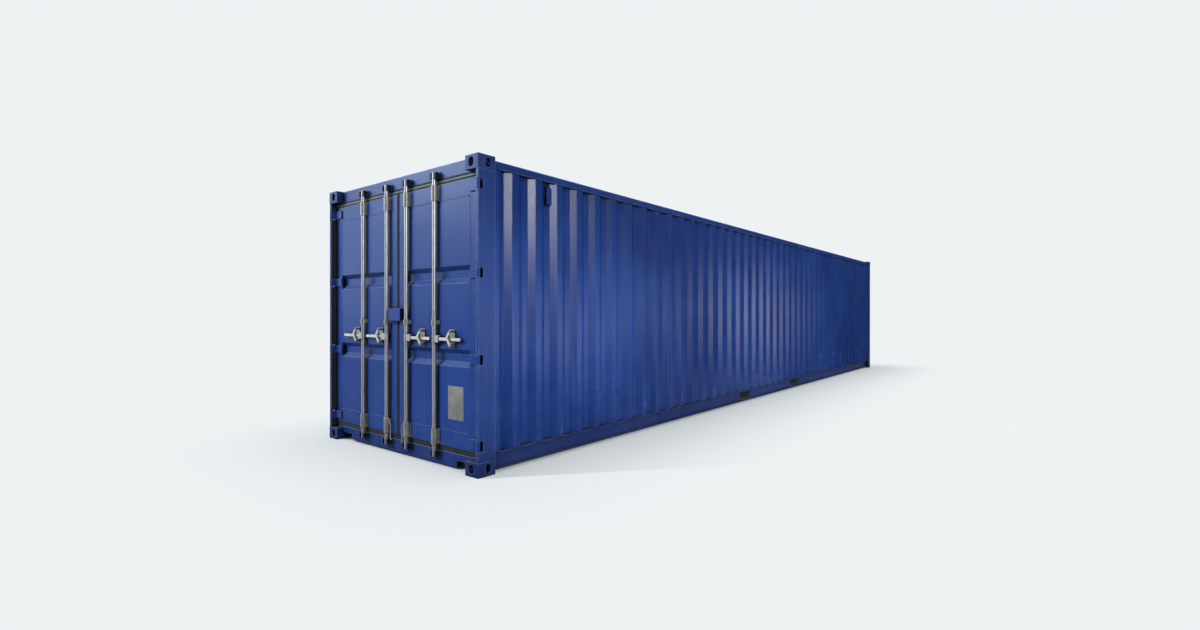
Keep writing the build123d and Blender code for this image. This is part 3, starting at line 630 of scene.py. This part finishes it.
# %% bolt heads and strips
HEAD_RINGS = ((1.0, 0.0), (1.0, 0.25), (0.82, 0.7), (0.45, 0.95))


def dome(shape, centre, towards, radius, height, sides=10):
    """A round bolt or rivet head that stands on centre and points towards a direction."""
    centre, towards = Vector(centre), Vector(towards).normalized()
    side = towards.orthogonal().normalized()
    over = towards.cross(side)
    corners, faces = [], []
    for wide, high in HEAD_RINGS:
        corners += circle(centre + towards * height * high, side, over, radius * wide, sides)
    corners.append(centre + towards * height)
    for ring in range(len(HEAD_RINGS) - 1):
        faces += band(ring * sides, (ring + 1) * sides, sides)
    top = (len(HEAD_RINGS) - 1) * sides
    faces += [(top + k, top + (k + 1) % sides, len(corners) - 1) for k in range(sides)]
    faces.append(tuple(reversed(range(sides))))
    shape.add(corners, faces)


def strip(shape, low, high, edge=0.0008):
    """A flat bar between two corners, with its front edges broken towards -Y."""
    (x0, y0, z0), (x1, y1, z1) = low, high
    corners = [(x0, y1, z0), (x1, y1, z0), (x1, y1, z1), (x0, y1, z1),
               (x0, y0 + edge, z0), (x1, y0 + edge, z0), (x1, y0 + edge, z1), (x0, y0 + edge, z1),
               (x0 + edge, y0, z0 + edge), (x1 - edge, y0, z0 + edge),
               (x1 - edge, y0, z1 - edge), (x0 + edge, y0, z1 - edge)]
    shape.add(corners, [(0, 3, 2, 1), (8, 9, 10, 11)] + band(0, 4, 4) + band(4, 8, 4))


print("a bolt head has", len(HEAD_RINGS), "rings")

# %% [markdown]
# ## Weld beads along the walls
# The pressed wall sheets are welded to the rails all along their zigzag edge, above and
# below. A line in the paint could hint at the seam, but it would have no thickness and catch no
# light. So each bead is a thin rod that wavers a little. Its line is read from the wall's own
# corners, so it follows each fold.

# %% wall beads
BEAD, BEAD_OUT = 0.0035, 0.0015
BEAD_STEP, BEAD_WAVER = 0.03, 0.25
# name of the beads: the wall, the axis across it (0 is X, 1 is Y) and the way that faces out
BEADED_WALLS = {"wall_beads_right": ("side_wall_right", 0, 1),
                "wall_beads_left": ("side_wall_left", 0, -1),
                "front_wall_beads": ("front_wall", 1, 1)}


def wall_line(node, across, sign):
    """The outer edge of a pressed wall as (place along, place across), from its own mesh."""
    along = 1 - across
    outer = {}
    for vertex in nodes[node].data.vertices:
        key = round(vertex.co[along], 4)
        level = vertex.co[across] * sign
        outer[key] = max(outer.get(key, -1e9), level)
    return [(place, outer[place] * sign) for place in sorted(outer)]


for name, (wall, across, sign) in BEADED_WALLS.items():
    low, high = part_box(wall)
    line = [(along, out + sign * BEAD_OUT) for along, out in wall_line(wall, across, sign)]
    beads = Shape()
    for z in (low.z + BEAD_OUT, high.z - BEAD_OUT):
        points = [(along, out, z) if across == 1 else (out, along, z) for along, out in line]
        tube(beads, walk(points, BEAD_STEP), BEAD, sides=5, ripple=BEAD_WAVER)
    make_piece(name, beads, wall_paint, "root")
    print(name, "follows", len(line), "corners of", wall)

# %% [markdown]
# ## Weld beads on the doors
# A door leaf is a frame of square tube and channel with a pressed panel set into it. The seam
# round the panel shows as a raised line, and it is finer up the sides than along the top and
# the foot. The panel's own mesh comes from the model and isn't changed, so the seam can't be
# cut into it. It is a rod laid on its four edges, and it swings with the door.

# %% door beads
SEAM_LEVEL, SEAM_UPRIGHT = 0.003, 0.0018
LEVEL_STEP, UPRIGHT_STEP, SEAM_WAVER = 0.03, 0.05, 0.2
for side in ("right", "left"):
    low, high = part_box(f"door_{side}_panel")
    beads = Shape()
    for z in (low.z, high.z):
        path = [(low.x, low.y, z), (high.x, low.y, z)]
        tube(beads, walk(path, LEVEL_STEP), SEAM_LEVEL, ripple=SEAM_WAVER)
    for x in (low.x, high.x):
        path = [(x, low.y, low.z), (x, low.y, high.z)]
        tube(beads, walk(path, UPRIGHT_STEP), SEAM_UPRIGHT, ripple=SEAM_WAVER)
    make_piece(f"door_beads_{side}", beads, door_paint, f"door_{side}")
    print(f"door_beads_{side} has", len(beads.faces), "faces")

# %% [markdown]
# Each hinge blade is a flat bar that lies on the leaf and is welded along both long edges and
# across its end, so the bead has the shape of a U. The heights are the same as those of the
# knuckles on the post, and the bead stops where the blade bends away from the leaf.

# %% hinge beads
HINGE_HEIGHTS = (0.249, 0.940, 1.641, 2.350)
BLADE_HALF = 0.040
BLADE_END, BLADE_BEND = 0.150, 0.046
HINGE_BEAD, SHORT_STEP = 0.0032, 0.012
for side, sign in (("right", 1), ("left", -1)):
    hinge_low, hinge_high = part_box(f"door_{side}_hinges")
    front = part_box(f"door_{side}_frame")[0].y
    inner = min(abs(hinge_low.x), abs(hinge_high.x)) * sign
    bend = inner + sign * (BLADE_END - BLADE_BEND)
    beads = Shape()
    for z in HINGE_HEIGHTS:
        path = [(bend, front, z - BLADE_HALF), (inner, front, z - BLADE_HALF),
                (inner, front, z + BLADE_HALF), (bend, front, z + BLADE_HALF)]
        tube(beads, walk(path, SHORT_STEP), HINGE_BEAD, ripple=BEAD_WAVER)
    make_piece(f"hinge_beads_{side}", beads, door_paint, f"door_{side}")
print("hinge blades end at x =", round(abs(inner), 3))

# %% [markdown]
# The ventilator is a small pressed hood on a trough of the wall. It is stuck and riveted down
# all round, which shows as a seam along its foot. One node holds both hoods, so the corners on
# each side of the container are looked at by themselves.

# %% ventilator seams
HOOD_SEAM = 0.0026
seams = Shape()
hoods = nodes["ventilators"].data.vertices
for sign in (1, -1):
    points = [vertex.co for vertex in hoods if vertex.co.x * sign > 0]
    foot = min(abs(point.x) for point in points) * sign
    y0, y1 = min(point.y for point in points), max(point.y for point in points)
    z0, z1 = min(point.z for point in points), max(point.z for point in points)
    path = [(foot, y0, z0), (foot, y1, z0), (foot, y1, z1), (foot, y0, z1), (foot, y0, z0)]
    tube(seams, walk(path, SHORT_STEP), HOOD_SEAM, ripple=BEAD_WAVER)
make_piece("ventilator_seams", seams, wall_paint, "root")
print("ventilator seams lie at x =", round(abs(foot), 3))

# %% [markdown]
# ## Floor screws
# Plywood panels are screwed down to the cross members. The heads stand in rows across the
# floor, a little way in from the edges of each board, and shine where boots and wheels rub.
# Dots in the wood's bump would vanish at a low angle, so the heads are real, very flat domes.
# The board edges are read from the floor's own mesh, so the screws keep to the boards.

# %% floor screws
SCREW_ROWS, EDGE_IN = 0.31, 0.03
SCREW_HEAD, SCREW_UP = 0.006, 0.0012
floor_low, floor_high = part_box("floor_boards")
top_points = [v.co for v in nodes["floor_boards"].data.vertices if v.co.z > floor_high.z - 1e-4]
edges = sorted({round(point.x, 3) for point in top_points})
boards = [(x0, x1) for x0, x1 in zip(edges, edges[1:]) if x1 - x0 > 3 * EDGE_IN]
rows = int((floor_high.y - floor_low.y - 2 * EDGE_IN) / SCREW_ROWS)
screws = Shape()
for row in range(rows + 1):
    y = floor_low.y + 2 * EDGE_IN + row * SCREW_ROWS
    for x0, x1 in boards:
        for x in (x0 + EDGE_IN, x1 - EDGE_IN):
            dome(screws, (x, y, floor_high.z), (0, 0, 1), SCREW_HEAD, SCREW_UP, sides=7)
make_piece("floor_screws", screws, bolt_zinc, "root")
print(rows + 1, "rows of screws in", len(boards), "boards")

# %% [markdown]
# ## Holder of the data plate
# The data plate sits on a slightly larger blank backing sheet, held by four blind rivets. The
# plate is in the model, and only its holder and rivets are added. The sheet is thinner than the
# plate, so that the plate stands proud of it all round and throws a fine shadow on it, which a
# border in the plate's colour would not do.

# %% plate holder
HOLDER_EDGE, HOLDER_TOP, HOLDER_BREAK = 0.008, 0.016, 0.0004
PLATE_PROUD, HOLDER_CLEAR = 0.0006, 0.0002
RIVET_IN, RIVET_HEAD, RIVET_UP = 0.009, 0.0045, 0.0022
plate_low, plate_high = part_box("data_plate")
holder = Shape()
strip(holder,
      (plate_low.x - HOLDER_EDGE, plate_low.y + PLATE_PROUD, plate_low.z - HOLDER_EDGE),
      (plate_high.x + HOLDER_EDGE, plate_high.y - HOLDER_CLEAR, plate_high.z + HOLDER_TOP),
      HOLDER_BREAK)
make_piece("plate_holder", holder, plate_metal, "door_right", smooth=False)
rivets = Shape()
for x in (plate_low.x + RIVET_IN, plate_high.x - RIVET_IN):
    for z in (plate_low.z + RIVET_IN, plate_high.z - RIVET_IN):
        dome(rivets, (x, plate_low.y, z), (0, -1, 0), RIVET_HEAD, RIVET_UP)
make_piece("plate_rivets", rivets, bolt_zinc, "door_right")
print("the plate is", round(plate_high.x - plate_low.x, 3), "m wide")

# %% [markdown]
# ## Seal strips
# The rubber seal fills the slit between the leaf and the frame. A flat strip holds it to the
# leaf. Above the leaf it shows as a khaki line between two dark ones, and below the leaf it is
# covered by a narrow lip of the rubber itself. Stripes in the rubber's material would need to
# know where the leaf ends. Thin bars get their heights from the leaf's box instead.

# %% seal strips
STRIP_SHORTER = 0.006
STRIP_PROUD, STRIP_SUNK = 0.0015, 0.001
TOP_STRIP, LOW_STRIP = (0.015, 0.031), (-0.029, -0.023)
for side in ("right", "left"):
    seal_low, seal_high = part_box(f"door_{side}_gasket")
    leaf_low, leaf_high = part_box(f"door_{side}_frame")
    x0, x1 = seal_low.x + STRIP_SHORTER, seal_high.x - STRIP_SHORTER
    y0, y1 = seal_low.y - STRIP_PROUD, seal_low.y + STRIP_SUNK
    for name, level, (z0, z1), finish in (("top", leaf_high.z, TOP_STRIP, seal_strip),
                                          ("low", leaf_low.z, LOW_STRIP, seal_rubber)):
        strips = Shape()
        strip(strips, (x0, y0, level + z0), (x1, y1, level + z1))
        make_piece(f"seal_strip_{name}_{side}", strips, finish, f"door_{side}",
                   smooth=False)
print("a seal strip is", round(x1 - x0, 3), "m long")

# %% [markdown]
# On the hinge side the seal ends in a thin lip that lies against the inner face of the post.
# Seen from the front it is the black line beside each leaf, broken where a hinge passes. That
# line is partly the post's inner face in shade, and the black of the lip paints this shade in.
# The lip could swing with the leaf, but then it would cut through the post on its way. It stays
# with the post, where the real lip is pressed flat.

# %% lips beside the leaves
HINGE_GAP, SHORTEST_LIP = 0.042, 0.01
LIP_THICK, LIP_OFF, LIP_BREAK = 0.0015, 0.001, 0.0004
LIP_FRONT, LIP_BACK = 0.003, 0.004
post_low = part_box("rear_post_right")[0]
leaf_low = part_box("door_right_frame")[0]
seal_low, seal_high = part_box("door_right_gasket")
lip_face = seal_high.x + LIP_OFF
gaps = [z + way * HINGE_GAP for z in HINGE_HEIGHTS for way in (-1, 1)]
ends = [seal_low.z] + gaps + [seal_high.z]
# the black lips also paint the shade on the posts' inner faces beside the leaves
for side, sign in (("right", 1), ("left", -1)):
    x0, x1 = sorted((sign * (lip_face - LIP_THICK), sign * lip_face))
    lips = Shape()
    for z0, z1 in zip(ends[::2], ends[1::2]):
        if z1 - z0 > SHORTEST_LIP:
            strip(lips, (x0, post_low.y + LIP_FRONT, z0), (x1, leaf_low.y + LIP_BACK, z1),
                  LIP_BREAK)
    make_piece(f"seal_lip_and_shade_{side}", lips, seal_rubber, "root", smooth=False)
print("the lips lie on the posts at x =", round(lip_face, 4))

# %% [markdown]
# ## Bolts on the guides and catches
# Each lock bar runs in saddles that are bolted through the door frame, and each handle catch
# has its own bolts. They are dome heads on the flanges, all of one leaf in one mesh, which
# rides on its door as one piece. Their places come from the flange sizes, counted from the bar.

# %% bolts
BAR_PLACES = {"right": (0.164, 0.591), "left": (-0.591, -0.164)}
CATCH_SHIFT = {"right": 0.227, "left": -0.129}
FLANGE_OUT, FLANGE_DEEP = 0.035, 0.045
GUIDE_HEIGHTS = (0.204, 0.301, 1.236, 2.306, 2.399)
CATCH_BOLTS = ((-0.027, 1.041), (-0.027, 1.169), (0.027, 1.100))
GUIDE_HEAD, GUIDE_UP = 0.0075, 0.005
CATCH_HEAD, CATCH_UP = 0.006, 0.004
for side, bars in BAR_PLACES.items():
    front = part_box(f"door_{side}_guides")[0].y + FLANGE_DEEP
    bolts = Shape()
    for x in bars:
        for z in GUIDE_HEIGHTS:
            for out in (-FLANGE_OUT, FLANGE_OUT):
                dome(bolts, (x + out, front, z), (0, -1, 0), GUIDE_HEAD, GUIDE_UP)
        for out, z in CATCH_BOLTS:
            dome(bolts, (x + CATCH_SHIFT[side] + out, front, z), (0, -1, 0), CATCH_HEAD, CATCH_UP)
    make_piece(f"bolts_{side}", bolts, bolt_zinc, f"door_{side}")
print("guide flanges are at y =", round(front, 4))

# %% [markdown]
# ## Studio floor
# The container stands on a plain pale floor. A floor with an edge would show a horizon, and a
# bent backdrop would throw extra light on the steel. So the floor is flat and large, and with
# distance from the container it turns by degrees into the plain backdrop colour, for the camera
# and for mirror images only. Near the container it is lit like any surface and keeps its
# shadow, and right under it the fade is cut off, so that the gap below the rails stays dark.

# %% the floor's shape
FLOOR_HALF = 60.0


def stage_piece(name, corners, faces, material):
    """Part of the studio, which isn't part of the container."""
    mesh = bpy.data.meshes.new(name)
    mesh.from_pydata(corners, [], faces)
    mesh.materials.append(material)
    made = bpy.data.objects.new(name, mesh)
    bpy.context.scene.collection.objects.link(made)
    return made


floor_paper, tree, shader = start_material("floor_paper", 0.9)
shader.inputs["Specular IOR Level"].default_value = 0.1
stage_piece("studio_floor", [(-FLOOR_HALF, -FLOOR_HALF, 0), (FLOOR_HALF, -FLOOR_HALF, 0),
                             (FLOOR_HALF, FLOOR_HALF, 0), (-FLOOR_HALF, FLOOR_HALF, 0)],
            [(0, 1, 2, 3)], floor_paper)
print("the floor is", 2 * FLOOR_HALF, "m wide")

# %% the floor's fade
BACKDROP = rgb(238, 242, 243)
PAPER_SEEN, PAPER_LIT = rgb(224, 228, 230), rgb(120, 124, 128)
# half the footprint each way, a little inside the rails
HALF_WIDE, HALF_LONG = 1.08, 6.0
FADE_FROM, FADE_TO = -1.2, 2.0
SHADE_EDGE = 0.08


def shows_backdrop(tree):
    """1 for a ray from the camera, a mirror image or through glass, 0 for one that lights."""
    rays = add_node(tree, "LightPath").outputs
    mirrored = calc(tree, "ADD", rays["Is Glossy Ray"], rays["Is Transmission Ray"])
    return calc(tree, "ADD", rays["Is Camera Ray"], mirrored, clamp=True)


def beyond(tree, value, half):
    """How far a point lies outside the container's footprint, along one axis."""
    outside = calc(tree, "SUBTRACT", calc(tree, "ABSOLUTE", value), half)
    return calc(tree, "MAXIMUM", outside, 0.0)


place = add_node(tree, "NewGeometry").outputs["Position"]
camera_ray = add_node(tree, "LightPath").outputs["Is Camera Ray"]
tree.links.new(mix_colour(tree, camera_ray, PAPER_LIT, PAPER_SEEN), shader.inputs["Base Color"])
aside = beyond(tree, axis(tree, place, "X"), HALF_WIDE)
along = beyond(tree, axis(tree, place, "Y"), HALF_LONG)
away = calc(tree, "SQRT", calc(tree, "ADD", calc(tree, "POWER", aside, 2.0),
                               calc(tree, "POWER", along, 2.0)))
fade = calc(tree, "MULTIPLY", spread(tree, away, FADE_FROM, FADE_TO), shows_backdrop(tree))
fade = calc(tree, "MULTIPLY", spread(tree, away, 0.0, SHADE_EDGE), fade)
glow = add_node(tree, "Emission", {"Color": BACKDROP, "Strength": 1.0})
both = add_node(tree, "MixShader", {0: fade, 1: shader.outputs[0], 2: glow.outputs[0]})
output = next(n for n in tree.nodes if n.type == "OUTPUT_MATERIAL")
tree.links.new(both.outputs[0], output.inputs["Surface"])
print("the backdrop is", [round(c, 3) for c in BACKDROP[:3]])

# %% [markdown]
# ## Studio air
# A world that is white enough for the backdrop would light the container too much. So the world
# has two faces, told apart by the Light Path node. What is seen directly or mirrored is the
# plain backdrop colour. What lights the container is a cool, even air that is brighter towards
# the open side of the studio and dim on the other, so that the far faces stay darker.

# %% the world
AIR = (0.93, 0.965, 1.0, 1.0)
OPEN_SIDE = (0.75, 0.45, 0.48)
DIM_FROM, DIM_LEVEL = -0.2, 0.2
world = bpy.data.worlds.new("studio_air")
bpy.context.scene.world = world
world.use_nodes = True
tree = world.node_tree
tree.nodes.clear()
towards = add_node(tree, "VectorMath", {0: add_node(tree, "TexCoord").outputs["Generated"],
                                        1: OPEN_SIDE}, operation="DOT_PRODUCT")
level = spread(tree, towards.outputs["Value"], DIM_FROM, 1.0, DIM_LEVEL, 1.0)
air = add_node(tree, "Background", {"Color": AIR, "Strength": level})
drop = add_node(tree, "Background", {"Color": BACKDROP, "Strength": 1.0})
both = add_node(tree, "MixShader", {0: shows_backdrop(tree), 1: air.outputs[0],
                                    2: drop.outputs[0]})
output = add_node(tree, "OutputWorld")
tree.links.new(both.outputs[0], output.inputs["Surface"])
print("the air has", len(tree.nodes), "nodes")

# %% [markdown]
# ## Lamps
# A sun lights the doors from the left and above, and the lock bars throw soft shadows to the
# right. The sheen in the paint comes from soft boxes, which are lamps with a real size, so
# that the sheen fades at its borders as it does in a studio. Each is either seen as a sheen
# only or lights the surface only, and so the sheen and the shade can be set one by one.

# %% the sun and the soft box
SUN_PLACE, SUN_TARGET = (-5.5, -12.5, 5.5), (0.0, -6.0, 0.0)
SUN_STRENGTH, SUN_ANGLE = 2.7, 3


def aim(lamp_object, target):
    way = Vector(target) - lamp_object.location
    lamp_object.rotation_euler = way.to_track_quat("-Z", "Y").to_euler()


def soft_box(name, place, target, wide, high, brightness, sheen=True, colour=(1, 1, 1),
             beam=180.0):
    """A lamp of wide by high metres. Brightness is per area, so a larger one isn't dimmer."""
    lamp = bpy.data.lights.new(name, "AREA")
    lamp.color = colour
    lamp.shape = "RECTANGLE"
    lamp.size, lamp.size_y = wide, high
    lamp.energy = brightness * math.pi * wide * high
    lamp.spread = math.radians(beam)
    made = bpy.data.objects.new(name, lamp)
    made.location = place
    bpy.context.scene.collection.objects.link(made)
    made.visible_camera = False
    made.visible_diffuse = not sheen
    made.visible_glossy = sheen
    aim(made, target)


sun = bpy.data.lights.new("key_light", "SUN")
sun.energy = SUN_STRENGTH
sun.angle = math.radians(SUN_ANGLE)
key_light = bpy.data.objects.new("key_light", sun)
key_light.location = SUN_PLACE
bpy.context.scene.collection.objects.link(key_light)
aim(key_light, SUN_TARGET)
print("the sun shines from", SUN_PLACE)

# %% [markdown]
# Two cool boxes on the left mirror in the doors. On the right, the folded wall has flats that
# face the side and slopes that face forwards, and each kind mirrors another part of the
# studio to the camera. So the wall has a tall narrow box for the slopes of the nearest folds,
# wider ones for the slopes further on, one beyond them for the flats, and a low one for the
# foot of the wall.

# %% boxes that are seen as a sheen
COOL = (0.78, 0.91, 1.0)
soft_box("door_soft_box", (-8.4, -13.4, 6.9), (0.6, -6, 2.0), 5.0, 4.4, 33.0, colour=COOL)
soft_box("left_soft_box", (-9.8, -11.2, 2.8), (-0.6, -6, 1.8), 4.0, 3.4, 5.0, colour=COOL)
soft_box("wall_soft_box", (9.2, -7.1, 4.5), (1.2, -5.6, 1.8), 1.2, 3.4, 130.0)
soft_box("side_soft_box", (14.0, 0.9, 1.5), (1.2, -0.4, 1.2), 4.2, 2.4, 28.0)
soft_box("middle_soft_box", (9.5, -5.0, 1.4), (1.2, -4.6, 1.4), 4.4, 2.2, 7.0)
soft_box("flats_soft_box", (9.2, 2.0, 1.2), (1.2, -5.0, 1.2), 5.0, 1.7, 7.5)
soft_box("low_soft_box", (7.0, 0.6, 0.36), (1.2, -0.6, 0.36), 3.4, 0.7, 9.0)

# %% [markdown]
# Two long strip lights lift the near end and the middle of the wall, which would be too dark
# with the air alone. A narrow beam, as from a grid before the lamp, keeps them off the floor
# and off the doors.

# %% strips that only light
NEAR_BEAM, MIDDLE_BEAM = 90.0, 120.0
soft_box("near_strip", (2.9, -4.9, 1.15), (1.2, -4.9, 1.15), 2.6, 0.4, 1.7, sheen=False,
         beam=NEAR_BEAM)
soft_box("middle_strip", (4.2, 0.4, 1.4), (1.2, 0.4, 1.4), 7.0, 0.8, 1.1, sheen=False,
         beam=MIDDLE_BEAM)

# %% [markdown]
# ## Dark board and cloth
# The wall is seen at a flat angle, so it would mirror the pale backdrop and floor and turn
# grey. Studios put something dark where the mirror image comes from. Here a board stands
# beyond the closed end, and a cloth lies before it on the floor. Only mirror images show them:
# the camera doesn't, and they take no light away.

# %% dark board and cloth
BOARD_LEFT, BOARD_RIGHT = 1.5, 14
BOARD_AT, BOARD_TOP = 19, 9
CLOTH_FROM, CLOTH_UP = 2, 0.004
felt, tree, shader = start_material("dark_felt", 0.9)
shader.inputs["Base Color"].default_value = rgb(40, 44, 52)
board = stage_piece("dark_board",
                    [(BOARD_LEFT, BOARD_AT, CLOTH_UP), (BOARD_RIGHT, BOARD_AT, CLOTH_UP),
                     (BOARD_RIGHT, BOARD_AT, BOARD_TOP), (BOARD_LEFT, BOARD_AT, BOARD_TOP),
                     (BOARD_LEFT, CLOTH_FROM, CLOTH_UP), (BOARD_RIGHT, CLOTH_FROM, CLOTH_UP)],
                    [(0, 1, 2, 3), (4, 5, 1, 0)], felt)
board.visible_camera = board.visible_diffuse = board.visible_shadow = False
print("the board stands", BOARD_AT, "m from the container's middle")
